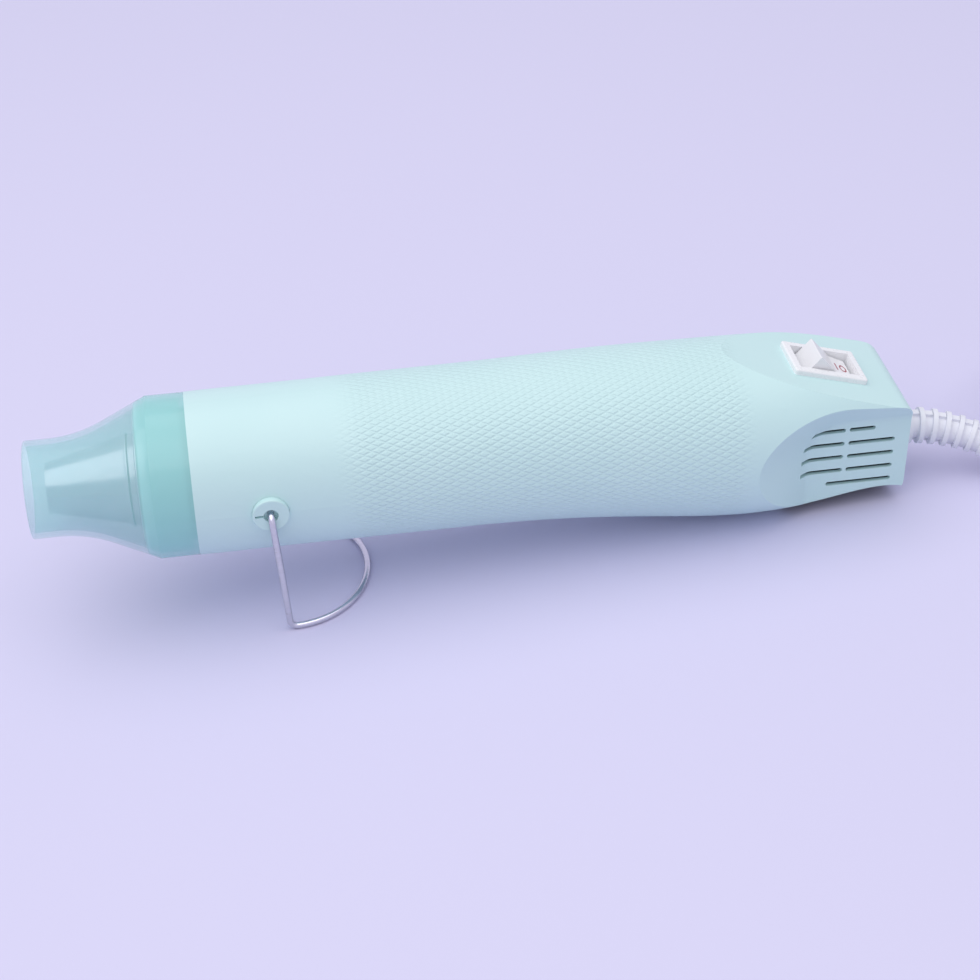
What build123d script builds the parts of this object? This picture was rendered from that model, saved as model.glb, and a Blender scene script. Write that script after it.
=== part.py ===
from build123d import *
from math import cos, degrees, pi, radians, sin, sqrt, tan
import os

# Embossing heat tool at rest: barrel on its belly and its wire stand.
# Row frame in millimetres: +Z up, nozzle towards -X, cord towards +X, near side -Y.
# Most pieces are placed by the barrel plane, whose x runs along the barrel to the rear,
# whose z points up square to it, and whose origin is the centre of the body's front ring.

# Body
body_length = 190.0
front_radius = 21.3
wall = 2.2
barrel_tilt = 4.6
# Body sections at even tenths of its length: half width, top, bottom and height of the
# widest place, all in front radii.
body_section_shares = (
    (1.000, 1.000, 1.000, 0.000),
    (1.006, 1.008, 1.002, 0.002),
    (1.011, 1.015, 1.005, 0.005),
    (1.017, 1.021, 1.009, 0.006),
    (1.022, 1.027, 1.013, 0.007),
    (1.042, 1.045, 1.044, -0.001),
    (1.081, 1.049, 1.120, -0.036),
    (1.118, 1.031, 1.225, -0.090),
    (1.135, 1.007, 1.256, -0.127),
    (1.068, 0.953, 1.135, -0.158),
    (0.986, 0.845, 1.085, -0.282),
)

# How far the smooth belly passes its lowest section
belly_ease = 0.05

# Switch facet on top of the tail
facet_angle = 16.0
bezel_front_along = 158.7
bezel_front_height = 16.6
tail_top_round = 5.0
tail_bottom_round = 7.0

# Scooped side pockets
tail_half_width = 13.7
pocket_front = 162.5
pocket_top = 3.9
pocket_corner = 10.0
pocket_slope = 32.0
pocket_blend = 4.0

# Vent slots in the pocket floors
slot_count = 5
slot_height = 1.25
slot_pitch = 4.25
slot_top = 1.3
slot_front = 159.4
slot_rear = 186.0
top_slot_rear = 180.3
low_slot_front = 167.9
slot_rib = 1.0
slot_rib_along = 172.6

# Clearances and overruns
seat_gap = 0.1
body_gap = 0.3
running_gap = 0.05
pilot_gap = 0.05
overrun = 2.0
slot_spare = 0.5

# Nozzle guard
guard_length = 42.0
collar_length = 10.0
rim_radius = 12.8
flare_run = 18.5
flare_blend = 34.3
guard_wall = 1.5
spigot_length = 7.0

# Steel nozzle
nozzle_mouth_along = -37.0
nozzle_mouth_radius = 6.5
nozzle_cone_end = -10.5
nozzle_tube_radius = 13.0
nozzle_tube_end = 50.0
nozzle_wall = 0.5
bead_radius = 0.55
bead_pitch = 2.5
bead_count = 3

# Heater
former_radius = 10.9
former_thickness = 0.7
former_length = 46.0
winding_wire = 0.6
winding_turns = 13
winding_pitch = 3.2
sleeve_wall = 0.4
ring_thickness = 1.6
base_thickness = 2.0
terminal_radius = 1.2
terminal_spread = 10.5
terminal_angle = 22.5
terminal_front = 1.5
terminal_rear = 3.0
ring_holes = 4
ring_hole_radius = 1.8
base_holes = 4
base_hole_spread = 7.0
base_hole_radius = 2.8
cutout_radius = 2.4
cutout_length = 8.0

# Fan and motor
shaft_radius = 1.15
motor_radius = 13.8
motor_length = 30.0
motor_front_along = 82.0
motor_boss_radius = 4.0
motor_boss_length = 2.0
hub_radius = 5.5
hub_length = 9.0
fan_radius = 15.6
fan_gap = 0.7
blade_count = 7
blade_thickness = 1.0
blade_pitch = 35.0
blade_twist = -12.0
hub_inset = 3.0
shroud_length = 16.0
mount_length = 12.0
mount_wall = 1.6
mount_web = 1.6
motor_gap = 1.8
spoke_width = 3.0
spoke_count = 4
mount_screw_spread = 8.0
mount_screw_radius = 1.2
mount_screw_head = 1.2
mount_screw_length = 3.0
board_radius = 12.0
board_thickness = 1.6
tab_length = 2.5
tab_spread = 8.0
tab_width = 2.0
tab_thickness = 0.5
diode_radius = 1.35
diode_length = 5.0
diode_pitch = 4.0

# Switch
bezel_length = 21.0
bezel_width = 15.0
bezel_height = 1.5
switch_length = 19.2
switch_width = 12.8
switch_depth = 12.0
switch_wall = 1.0
rocker_width = 9.8
rocker_pivot_depth = 2.2
rocker_pin_radius = 1.0
rocker_reach = 7.8
rocker_skirt = 3.2
rocker_face = 5.7
rocker_dip = 0.3
rocker_ease = 0.3
rocker_apex = 3.6
rocker_apex_height = 4.8
rocker_heel = 3.1
rocker_sink = 0.6
rocker_keel = 5.5
rocker_room = 8.0
pin_shy = 0.1
terminal_length = 5.0
terminal_pitch = 8.0
terminal_width = 4.8
terminal_thickness = 0.8

# Wire stand and its bushes
wire_radius = 0.9
pivot_along = 18.9
bush_radius = 4.75
bush_face = 22.6
bush_flange = 2.4
bush_shank_radius = 3.0
bush_shank_length = 2.9
bush_mouth_radius = 1.9
bush_mouth_depth = 1.4
bush_slit = 0.7
wire_bend = 2.0
foot_radius = 22.7
foot_back = 0.4
foot_reach = 22.8

# Housing screws: where they go in, along and above the barrel
screw_radius = 1.1
screw_head_radius = 2.2
screw_head_height = 1.6
screw_length = 13.0
screw_seat = 6.0
screw_boss_radius = 2.7
screw_slot = 0.7
boss_wall = 1.0
pilot_spare = 1.0
screw_place_shares = ((0.163, 0.779), (0.163, -0.779), (0.66, 0.72), (0.66, -0.86), (0.8, -0.9))

# Strain relief and cord
cord_diameter = 5.5
cord_exit_height = -8.5
relief_bend = 43.0
relief_swing = 65.0
relief_length = 34.0
relief_core = 3.5
relief_root_rib = 5.25
relief_end_rib = 4.2
relief_rib_thickness = 1.3
relief_rib_count = 10
relief_spine = 2.0
relief_neck = 4.3
relief_flange = 6.2
relief_flange_thickness = 2.0
clamp_along = 175.0
clamp_length = 6.0
clamp_width = 14.0
clamp_thickness = 2.6
clamp_screw_radius = 0.9
clamp_screw_head = 1.8
clamp_screw_length = 6.0
clamp_screw_spread = 5.0
clamp_post_radius = 2.0
inner_cord_length = 15.0

# Leads inside the body and the channel that they take past the fan
lead_radius = 0.8
lead_bend = 2.0
lead_foot = 4.0
lead_across = 5.0
lead_drop = -17.5
lead_height = -11.5
lead_offset = 1.6
lead_reach = 7.8
lead_room = 2.7
lead_climb_length = 6.0

# Coil of the cord out of view
coil_inner_radius = 23.0
coil_layers = 4
coil_turns_per_layer = 1.53125
coil_climb_turns = 0.5
coil_gap = 0.6
coil_layer_steps = 4
coil_start_angle = -135.0
coil_place = (186.6, -6.8)
cord_run_end = 7.0
tail_run = 20.3
tie_turn = 160.0
tie_width = 5.0
tie_thickness = 0.7
tie_gap = 0.15

# Plug
plug_length = 36.0
plug_width = 35.3
plug_face_depth = 15.0
plug_nose_width = 14.0
plug_height = 13.7
plug_round = 2.5
plug_collar = 4.5
plug_collar_length = 5.0
pin_radius = 2.0
pin_length = 19.0
pin_spread = 19.0

os.makedirs("parts", exist_ok=True)

# Barrel plane and its helpers
tilt = radians(barrel_tilt)
section_pitch = body_length / (len(body_section_shares) - 1)
ring_height = belly_ease + max(
    bottom * front_radius * cos(tilt) + k * section_pitch * sin(tilt)
    for k, (width, top, bottom, widest) in enumerate(body_section_shares)
)
nose_reach = guard_length * cos(tilt) + rim_radius * sin(tilt)
slope = radians(facet_angle)
rear_top = bezel_front_height - (body_length - bezel_front_along) * tan(slope)
rear_round_middle = rear_top - tail_top_round * tan(pi / 4 - slope / 2)
rear_reach = (body_length - tail_top_round) * cos(tilt) + rear_round_middle * sin(tilt) + tail_top_round
ring_x = (nose_reach - rear_reach) / 2
along_barrel = (cos(tilt), 0, -sin(tilt))
barrel = Plane(origin=(ring_x, 0, ring_height), x_dir=along_barrel, z_dir=(sin(tilt), 0, cos(tilt)))
side = Plane(origin=barrel.origin, x_dir=barrel.x_dir, z_dir=-barrel.y_dir)
barrel_axis = Axis(barrel.origin, barrel.x_dir)


def spot(along, across=0.0, height=0.0):
    """A point given along the barrel, across it and above its axis."""
    return barrel.from_local_coords((along, across, height))


def crosswise(along):
    """The plane square to the barrel at a place along it: local x across, local y up."""
    return Plane(origin=spot(along), x_dir=barrel.y_dir, z_dir=barrel.x_dir)


# Switch facet plane: origin at the middle of the bezel, x to the rear along the facet
bezel_mid_along = bezel_front_along + bezel_length / 2 * cos(slope)
bezel_mid_height = bezel_front_height - bezel_length / 2 * sin(slope)
facet_normal_tilt = tilt + slope
facet = Plane(
    origin=spot(bezel_mid_along, 0, bezel_mid_height),
    x_dir=(cos(facet_normal_tilt), 0, -sin(facet_normal_tilt)),
    z_dir=(sin(facet_normal_tilt), 0, cos(facet_normal_tilt)),
)
facet_side = Plane(origin=facet.origin, x_dir=facet.x_dir, z_dir=-facet.y_dir)
facet_up = Axis(facet.origin, facet.z_dir)


def facet_height(along):
    """Height of the facet above the barrel axis."""
    return bezel_front_height - (along - bezel_front_along) * tan(slope)


# Body form, used at full size and, drawn in by the wall, for the cavity
def body_form(inset):
    tall = 3 * front_radius
    scoops = [pocket_form(inset, hand) for hand in (1, -1)]
    with BuildPart() as form:
        for k, (width, top, bottom, widest) in enumerate(body_section_shares):
            half = width * front_radius - inset
            middle = widest * front_radius
            up = top * front_radius - middle - inset
            down = bottom * front_radius + middle - inset
            with BuildSketch(crosswise(k * section_pitch)):
                with BuildLine():
                    EllipticalCenterArc((0, middle), half, up, start_angle=0, arc_size=180)
                    EllipticalCenterArc((0, middle), half, down, start_angle=180, arc_size=180)
                make_face()
        loft()
        rear = body_length - inset
        drop = inset / cos(slope)
        with BuildSketch(side) as profile:
            with BuildLine():
                Polyline(
                    (-overrun, facet_height(-overrun) - drop),
                    (rear, facet_height(rear) - drop),
                    (rear, -body_section_shares[-1][2] * front_radius + inset),
                    (pocket_front, -body_section_shares[-2][2] * front_radius - overrun),
                    (pocket_front, -tall),
                    (-overrun, -tall),
                    close=True,
                )
            make_face()
            corners = profile.vertices().group_by(Axis.X)[-1].sort_by(Axis.Y)
            fillet(corners[-1], tail_top_round - inset / 2)
            fillet(profile.vertices().group_by(Axis.X)[-1].sort_by(Axis.Y)[0], tail_bottom_round - inset / 2)
        extrude(amount=tall, both=True, mode=Mode.INTERSECT)
        for scoop in scoops:
            add(scoop, mode=Mode.SUBTRACT)
    return form.part


def pocket_form(inset, hand):
    """The scoop at one side of the tail; a positive inset grows it for the cavity."""
    pitch = radians(pocket_slope)
    rise = tail_half_width
    creep = inset * tan(pitch / 2)
    with BuildPart() as scoop:
        for depth, spread in ((-inset, creep), (rise, creep + (rise + inset) / tan(pitch))):
            level = side.offset(hand * (tail_half_width + depth))
            with BuildSketch(level) as outline:
                with BuildLine():
                    Polyline(
                        (pocket_front - spread, pocket_top + spread),
                        (body_length + 2 * wall, pocket_top + spread),
                        (body_length + 2 * wall, -2 * front_radius),
                        (pocket_front - spread, -2 * front_radius),
                        close=True,
                    )
                make_face()
                corner = outline.vertices().group_by(Axis.X)[0].sort_by(Axis.Y)[-1]
                fillet(corner, pocket_corner + spread)
        loft(ruled=True)
        floor_face = scoop.faces().sort_by(Axis.Y if hand > 0 else -Axis.Y)[-1]
        fillet(floor_face.edges(), pocket_blend + inset)
    return scoop.part


outer_form = body_form(0)
cavity_form = body_form(wall)


def body_radius(along):
    """The smallest half size of the body's section at a place along the barrel."""
    before = int(along / section_pitch)
    sizes = [min(shares[:3]) for shares in body_section_shares[before:before + 2]]
    return front_radius * (sizes[0] + (sizes[1] - sizes[0]) * (along / section_pitch - before))


def bore_radius(along):
    """What a round piece inside the housing may measure at a place along the barrel."""
    return body_radius(along) - wall - seat_gap


def save(piece, label):
    """Name a finished piece and write it."""
    piece.part.label = label
    export_step(piece.part, f"parts/{label}.step")


# Places that several pieces share
screw_places = [(a * body_length, h * front_radius) for a, h in screw_place_shares]
far_boss_radius = screw_head_radius + body_gap + boss_wall
clamp_mid = clamp_along + clamp_length / 2
clamp_underside = cord_exit_height + cord_diameter / 2
clamp_under = Plane(origin=spot(clamp_mid, 0, clamp_underside), x_dir=barrel.x_dir, z_dir=-barrel.z_dir)
clamp_places = ((0, clamp_screw_spread), (0, -clamp_screw_spread))
relief_seat = Plane(origin=spot(body_length, 0, cord_exit_height), x_dir=barrel.y_dir, z_dir=barrel.x_dir)
bush_inner = bush_face - bush_flange
bush_end = bush_inner - bush_shank_length


# Hollow of the housing, which leaves its screw bosses and clamp posts standing
with BuildPart() as hollow:
    add(cavity_form)
    for along, height in screw_places:
        with BuildSketch(side):
            with Locations((along, height)):
                Circle(screw_boss_radius)
        extrude(amount=2 * front_radius, mode=Mode.SUBTRACT)
        with BuildSketch(side):
            with Locations((along, height)):
                Circle(far_boss_radius)
        extrude(amount=-2 * front_radius, mode=Mode.SUBTRACT)
    with BuildSketch(clamp_under):
        with Locations(*clamp_places):
            Circle(clamp_post_radius)
    extrude(amount=2 * front_radius, mode=Mode.SUBTRACT)

# Everything that is cut through the housing's walls and bosses
with BuildPart() as cutters:
    for along, height in screw_places:
        for radius, start, depth in (
            (screw_radius + pilot_gap, 0, screw_length - screw_seat + pilot_spare),
            (screw_radius + body_gap, 0, -screw_seat),
            (screw_head_radius + body_gap, -screw_seat, -2 * front_radius),
        ):
            with BuildSketch(side.offset(start)):
                with Locations((along, height)):
                    Circle(radius)
            extrude(amount=depth)
    for row in range(slot_count):
        level = slot_top - row * slot_pitch
        front = low_slot_front if row == slot_count - 1 else slot_front
        rear = top_slot_rear if row == 0 else slot_rear
        stretches = [(front, slot_rib_along - slot_rib / 2), (slot_rib_along + slot_rib / 2, rear)]
        if row == slot_count - 1:
            stretches = [(front, rear)]
        for begin, end in stretches:
            for hand in (1, -1):
                with BuildSketch(side.offset(hand * (tail_half_width - wall - slot_spare))):
                    with Locations(((begin + end) / 2, level)):
                        SlotOverall(end - begin, slot_height)
                extrude(amount=hand * (wall + overrun))
    with BuildSketch(facet.offset(overrun)):
        Rectangle(switch_length + 2 * seat_gap, switch_width + 2 * seat_gap)
    extrude(amount=-switch_depth)
    with BuildSketch(relief_seat.offset(overrun)):
        Circle(relief_neck + seat_gap)
    extrude(amount=-(wall + 2 * overrun))
    for hand in (1, -1):
        for radius, start, depth in (
            (bush_radius, bush_inner, bush_flange),
            (bush_shank_radius, bush_end - overrun, bush_shank_length + 2 * overrun),
        ):
            with BuildSketch(side.offset(hand * start)):
                with Locations((pivot_along, 0)):
                    Circle(radius + running_gap)
            extrude(amount=hand * depth)
    with BuildSketch(clamp_under):
        with Locations(*clamp_places):
            Circle(clamp_screw_radius + pilot_gap)
    extrude(amount=clamp_screw_length)

# Housing, made whole and then split in two
with BuildPart() as housing:
    add(outer_form)
    add(hollow.part, mode=Mode.SUBTRACT)
    add(cutters.part, mode=Mode.SUBTRACT)

# Near and far shells, parted on the middle plane
with BuildPart() as near_shell:
    add(housing.part)
    split(bisect_by=Plane.XZ, keep=Keep.TOP)
save(near_shell, "near_shell")

with BuildPart() as far_shell:
    add(housing.part)
    split(bisect_by=Plane.XZ, keep=Keep.BOTTOM)
save(far_shell, "far_shell")


# Screws that close the housing, put in from the far side
with BuildPart() as housing_screws:
    for along, height in screw_places:
        with BuildSketch(side.offset(-screw_seat)):
            with Locations((along, height)):
                Circle(screw_head_radius)
        extrude(amount=-screw_head_height)
        with BuildSketch(side.offset(-screw_seat)):
            with Locations((along, height)):
                Circle(screw_radius)
        extrude(amount=screw_length)
        with BuildSketch(side.offset(-screw_seat - screw_head_height)):
            with Locations((along, height)):
                RectangleRounded(2 * screw_radius, screw_slot, screw_slot / 3)
                RectangleRounded(screw_slot, 2 * screw_radius, screw_slot / 3)
        extrude(amount=screw_head_height / 2, mode=Mode.SUBTRACT)
save(housing_screws, "housing_screws")

# Nozzle guard: a collar with a spigot in the body, and the flared sleeve
spigot_radius = bore_radius(spigot_length)
with BuildPart() as nozzle_guard:
    flare_corner = -collar_length - flare_run
    with BuildSketch(side):
        with BuildLine():
            Polyline(
                (-collar_length, front_radius - guard_wall),
                (-guard_wall, front_radius - guard_wall),
                (-guard_wall, spigot_radius - guard_wall),
                (spigot_length, spigot_radius - guard_wall),
                (spigot_length, spigot_radius),
                (0, spigot_radius),
                (0, front_radius),
                (-collar_length, front_radius),
            )
            FilletPolyline(
                (-collar_length, front_radius),
                (flare_corner, rim_radius),
                (-guard_length, rim_radius),
                radius=flare_blend,
            )
            Line((-guard_length, rim_radius), (-guard_length, rim_radius - guard_wall))
            FilletPolyline(
                (-guard_length, rim_radius - guard_wall),
                (flare_corner, rim_radius - guard_wall),
                (-collar_length, front_radius - guard_wall),
                radius=flare_blend,
            )
        make_face()
    revolve(axis=barrel_axis)
    mouth = nozzle_guard.edges().filter_by(GeomType.CIRCLE).sort_by(barrel_axis)[:2]
    fillet(mouth, guard_wall / 3)
save(nozzle_guard, "nozzle_guard")

# Steel nozzle: cone with its beads, and the tube round the heater
cone_rise = (nozzle_tube_radius - nozzle_mouth_radius) / (nozzle_cone_end - nozzle_mouth_along)
with BuildPart() as steel_nozzle:
    with BuildSketch(side):
        with BuildLine():
            Polyline(
                (nozzle_mouth_along, nozzle_mouth_radius - nozzle_wall),
                (nozzle_mouth_along, nozzle_mouth_radius),
                (nozzle_cone_end, nozzle_tube_radius),
                (nozzle_tube_end, nozzle_tube_radius),
                (nozzle_tube_end, nozzle_tube_radius - nozzle_wall),
                (nozzle_cone_end, nozzle_tube_radius - nozzle_wall),
                close=True,
            )
        make_face()
        for k in range(bead_count):
            back = bead_pitch * (k + 0.2)
            with Locations((nozzle_cone_end - back, nozzle_tube_radius - back * cone_rise)):
                Circle(bead_radius)
    revolve(axis=barrel_axis)
save(steel_nozzle, "steel_nozzle")

# Rings that hold the steel tube in the housing
for label, start in (("front_tube_ring", spigot_length + seat_gap), ("rear_tube_ring", nozzle_tube_end - ring_thickness)):
    with BuildPart() as tube_ring:
        with BuildSketch(crosswise(start)):
            Circle(bore_radius(start))
            Circle(nozzle_tube_radius + running_gap, mode=Mode.SUBTRACT)
            with PolarLocations((bore_radius(start) + nozzle_tube_radius) / 2, ring_holes, start_angle=45):
                Circle(ring_hole_radius, mode=Mode.SUBTRACT)
        extrude(amount=ring_thickness)
    save(tube_ring, label)

# Mica sleeve inside the tube
with BuildPart() as mica_sleeve:
    with BuildSketch(crosswise(0)):
        Circle(nozzle_tube_radius - nozzle_wall - seat_gap)
        Circle(nozzle_tube_radius - nozzle_wall - seat_gap - sleeve_wall, mode=Mode.SUBTRACT)
    extrude(amount=nozzle_tube_end)
save(mica_sleeve, "mica_sleeve")

# Crossed mica cards that carry the winding, standing on the heater base
former_start = nozzle_tube_end - former_length
with BuildPart() as heater_former:
    with BuildSketch(crosswise(former_start)):
        Rectangle(2 * former_radius, former_thickness)
        Rectangle(former_thickness, 2 * former_radius)
    extrude(amount=former_length)
save(heater_former, "heater_former")


def biarc(start, start_way, end, end_way):
    """Two arcs from one point and direction to another, as their points and the middle direction."""
    gap = end - start
    ways = start_way + end_way
    bend = 2 * (1 - start_way.dot(end_way))
    lean = gap.dot(ways)
    reach = (sqrt(lean * lean + bend * gap.dot(gap)) - lean) / bend
    corner = start + start_way * reach
    next_corner = end - end_way * reach
    return (corner + next_corner) / 2, (next_corner - corner).normalized()


def heading(centreline, turn):
    """The direction of a wound line at a turn."""
    step = 1 / 1000
    return (centreline(turn + step) - centreline(turn - step)).normalized()


def wind(centreline, stations):
    """Draw a wound line in the open line builder, two arcs from each station to the next."""
    for begin, end in zip(stations, stations[1:]):
        first, last = centreline(begin), centreline(end)
        first_way = heading(centreline, begin)
        middle, middle_way = biarc(first, first_way, last, heading(centreline, end))
        TangentArc(first, middle, tangent=first_way)
        TangentArc(middle, last, tangent=middle_way)


# Resistance winding round the former
winding_radius = former_radius + winding_wire / 2 + running_gap
winding_start = former_start + (former_length - winding_turns * winding_pitch) / 2


def winding_point(turn):
    angle = 2 * pi * turn
    return spot(winding_start + turn * winding_pitch, winding_radius * cos(angle), winding_radius * sin(angle))


with BuildPart() as heater_winding:
    with BuildLine() as winding_line:
        wind(winding_point, [k / 2 for k in range(2 * winding_turns + 1)])
    with BuildSketch(Plane(origin=winding_line.line @ 0, z_dir=winding_line.line % 0)):
        Circle(winding_wire / 2)
    sweep(path=winding_line.line)
save(heater_winding, "heater_winding")

# Heater base: a disc behind the tube with air holes and two terminals
with BuildPart() as heater_base:
    with BuildSketch(crosswise(nozzle_tube_end)):
        Circle(bore_radius(nozzle_tube_end))
        with PolarLocations(base_hole_spread, base_holes, start_angle=45):
            Circle(base_hole_radius, mode=Mode.SUBTRACT)
        with PolarLocations(terminal_spread, 2, start_angle=terminal_angle):
            Circle(terminal_radius, mode=Mode.SUBTRACT)
    extrude(amount=base_thickness)
save(heater_base, "heater_base")

with BuildPart() as heater_terminals:
    with BuildSketch(crosswise(nozzle_tube_end - terminal_front)):
        with PolarLocations(terminal_spread, 2, start_angle=terminal_angle):
            Circle(terminal_radius)
    extrude(amount=terminal_front + base_thickness + terminal_rear)
save(heater_terminals, "heater_terminals")

# Thermal cut-out standing on the back of the base
cutout_place = bore_radius(nozzle_tube_end) - cutout_radius - wall
with BuildPart() as thermal_cutout:
    with BuildSketch(crosswise(nozzle_tube_end + base_thickness)):
        with Locations((0, cutout_place)):
            Circle(cutout_radius)
    extrude(amount=cutout_length)
    fillet(thermal_cutout.edges().sort_by(barrel_axis)[-1], cutout_radius / 4)
save(thermal_cutout, "thermal_cutout")

# Fan shroud: the air duct round the impeller
shroud_end = motor_front_along - mount_screw_head - motor_gap
with BuildPart() as fan_shroud:
    with BuildSketch(crosswise(shroud_end - shroud_length)):
        Circle(bore_radius(shroud_end - shroud_length))
        Circle(fan_radius + fan_gap, mode=Mode.SUBTRACT)
        with Locations((lead_across, lead_drop), (-lead_across, lead_drop)):
            Circle(lead_radius + 2 * body_gap, mode=Mode.SUBTRACT)
    extrude(amount=shroud_length)
save(fan_shroud, "fan_shroud")

# Impeller on the motor shaft
hub_start = shroud_end - shroud_length + hub_inset
with BuildPart() as blade:
    mid = Plane(origin=spot(hub_start + hub_length / 2), x_dir=barrel.x_dir, z_dir=barrel.z_dir)
    with BuildSketch(mid.offset(hub_radius - blade_thickness)):
        Rectangle(hub_length, blade_thickness, rotation=blade_pitch)
    with BuildSketch(mid.offset(fan_radius + blade_thickness)):
        Rectangle(hub_length, blade_thickness, rotation=blade_pitch + blade_twist)
    loft()
    with BuildSketch(crosswise(hub_start)):
        Circle(fan_radius)
    extrude(amount=hub_length, mode=Mode.INTERSECT)

with BuildPart() as impeller:
    with BuildSketch(crosswise(hub_start)):
        Circle(hub_radius)
    extrude(amount=hub_length)
    fillet(impeller.edges().sort_by(barrel_axis)[0], hub_radius / 3)
    add([blade.part.rotate(barrel_axis, k * 360 / blade_count) for k in range(blade_count)])
    with BuildSketch(crosswise(hub_start)):
        Circle(shaft_radius)
    extrude(amount=hub_length, mode=Mode.SUBTRACT)
save(impeller, "impeller")

shaft_end = motor_front_along + 2 * motor_length / 3
with BuildPart() as motor_shaft:
    with BuildSketch(crosswise(hub_start)):
        Circle(shaft_radius)
    extrude(amount=shaft_end - hub_start)
save(motor_shaft, "motor_shaft")

# Motor: can, front and rear bosses, tabs and the bore for its shaft
with BuildPart() as motor:
    with BuildSketch(crosswise(motor_front_along)):
        Circle(motor_radius)
    extrude(amount=motor_length)
    fillet(motor.edges().filter_by(GeomType.CIRCLE), motor_radius / 20)
    with BuildSketch(crosswise(motor_front_along - motor_boss_length)):
        Circle(motor_boss_radius)
    extrude(amount=motor_length + 2 * motor_boss_length)
    with BuildSketch(crosswise(motor_front_along + motor_length)):
        with Locations((0, tab_spread), (0, -tab_spread)):
            Rectangle(tab_width, tab_thickness)
    extrude(amount=tab_length)
    with BuildSketch(crosswise(motor_front_along - motor_boss_length)):
        Circle(shaft_radius + running_gap)
    extrude(amount=shaft_end - motor_front_along + motor_boss_length + overrun, mode=Mode.SUBTRACT)
    with BuildSketch(crosswise(motor_front_along)):
        with Locations((mount_screw_spread, 0), (-mount_screw_spread, 0)):
            Circle(mount_screw_radius)
    extrude(amount=mount_screw_length, mode=Mode.SUBTRACT)
save(motor, "motor")

# Motor mount: a cup round the front of the motor, spoked to a ring in the housing
mount_inner = motor_radius + seat_gap
mount_start = motor_front_along - mount_web
with BuildPart() as motor_mount:
    with BuildSketch(crosswise(mount_start)):
        Circle(bore_radius(mount_start))
        Circle(bore_radius(mount_start) - mount_wall, mode=Mode.SUBTRACT)
        with Locations((lead_across, lead_drop), (-lead_across, lead_drop)):
            Circle(lead_radius + 2 * body_gap, mode=Mode.SUBTRACT)
        with PolarLocations((bore_radius(mount_start) + mount_inner) / 2, spoke_count):
            Rectangle(bore_radius(mount_start) - mount_inner, spoke_width)
        Circle(mount_inner + mount_wall)
        Circle(mount_inner, mode=Mode.SUBTRACT)
    extrude(amount=mount_length)
    with BuildSketch(crosswise(mount_start)):
        Circle(mount_inner + mount_wall)
        Circle(motor_boss_radius + seat_gap, mode=Mode.SUBTRACT)
        with Locations((mount_screw_spread, 0), (-mount_screw_spread, 0)):
            Circle(mount_screw_radius, mode=Mode.SUBTRACT)
    extrude(amount=mount_web)
save(motor_mount, "motor_mount")

with BuildPart() as mount_screws:
    with BuildSketch(crosswise(mount_start - mount_screw_head)):
        with Locations((mount_screw_spread, 0), (-mount_screw_spread, 0)):
            Circle(2 * mount_screw_radius)
    extrude(amount=mount_screw_head)
    with BuildSketch(crosswise(mount_start)):
        with Locations((mount_screw_spread, 0), (-mount_screw_spread, 0)):
            Circle(mount_screw_radius)
    extrude(amount=mount_web + mount_screw_length)
save(mount_screws, "mount_screws")

# Rectifier board on the motor's tabs, with its diodes
board_start = motor_front_along + motor_length + tab_length
with BuildPart() as rectifier_board:
    with BuildSketch(crosswise(board_start)):
        Circle(board_radius)
        Circle(shaft_radius, mode=Mode.SUBTRACT)
    extrude(amount=board_thickness)
save(rectifier_board, "rectifier_board")

with BuildPart() as rectifier_diodes:
    diode_level = Plane(
        origin=spot(board_start + board_thickness + diode_radius, 0, -diode_length / 2),
        x_dir=barrel.x_dir,
        z_dir=barrel.z_dir,
    )
    with BuildSketch(diode_level):
        with GridLocations(0, diode_pitch, 1, 4):
            Circle(diode_radius)
    extrude(amount=diode_length)
save(rectifier_diodes, "rectifier_diodes")

# Switch: bezel with its body, rocker, terminals
with BuildPart() as switch_bezel:
    with BuildSketch(facet):
        RectangleRounded(bezel_length, bezel_width, bezel_height / 2)
    extrude(amount=bezel_height)
    fillet(switch_bezel.faces().sort_by(facet_up)[-1].outer_wire().edges(), bezel_height / 3)
    with BuildSketch(facet):
        Rectangle(switch_length, switch_width)
    extrude(amount=-switch_depth)
    with BuildSketch(facet.offset(bezel_height)):
        Rectangle(switch_length - 2 * switch_wall, switch_width - 2 * switch_wall)
    extrude(amount=-(bezel_height + rocker_room), mode=Mode.SUBTRACT)
    with BuildSketch(facet_side):
        with Locations((0, -rocker_pivot_depth)):
            Circle(rocker_pin_radius + running_gap)
    extrude(amount=switch_width / 2, both=True, mode=Mode.SUBTRACT)
save(switch_bezel, "switch_bezel")

with BuildPart() as switch_rocker:
    with BuildSketch(facet_side) as rocker_outline:
        with BuildLine():
            Polyline(
                (-rocker_reach, -rocker_skirt),
                (-rocker_face, rocker_dip),
                (-rocker_apex, rocker_apex_height),
                (rocker_heel, rocker_dip),
                (rocker_reach, -rocker_sink),
                (rocker_reach, -rocker_skirt),
                (0, -rocker_keel),
                close=True,
            )
        make_face()
    extrude(amount=rocker_width / 2, both=True)
    fillet(switch_rocker.edges().filter_by(Axis.Y).sort_by(facet_up)[-1], rocker_ease)
    with BuildSketch(facet_side):
        with Locations((0, -rocker_pivot_depth)):
            Circle(rocker_pin_radius)
    extrude(amount=switch_width / 2 - pin_shy, both=True)
save(switch_rocker, "switch_rocker")

terminal_top = facet.offset(-switch_depth)
with BuildPart() as switch_terminals:
    with BuildSketch(terminal_top):
        with GridLocations(terminal_pitch, 0, 2, 1):
            Rectangle(terminal_thickness, terminal_width)
    extrude(amount=-terminal_length)
save(switch_terminals, "switch_terminals")

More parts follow.
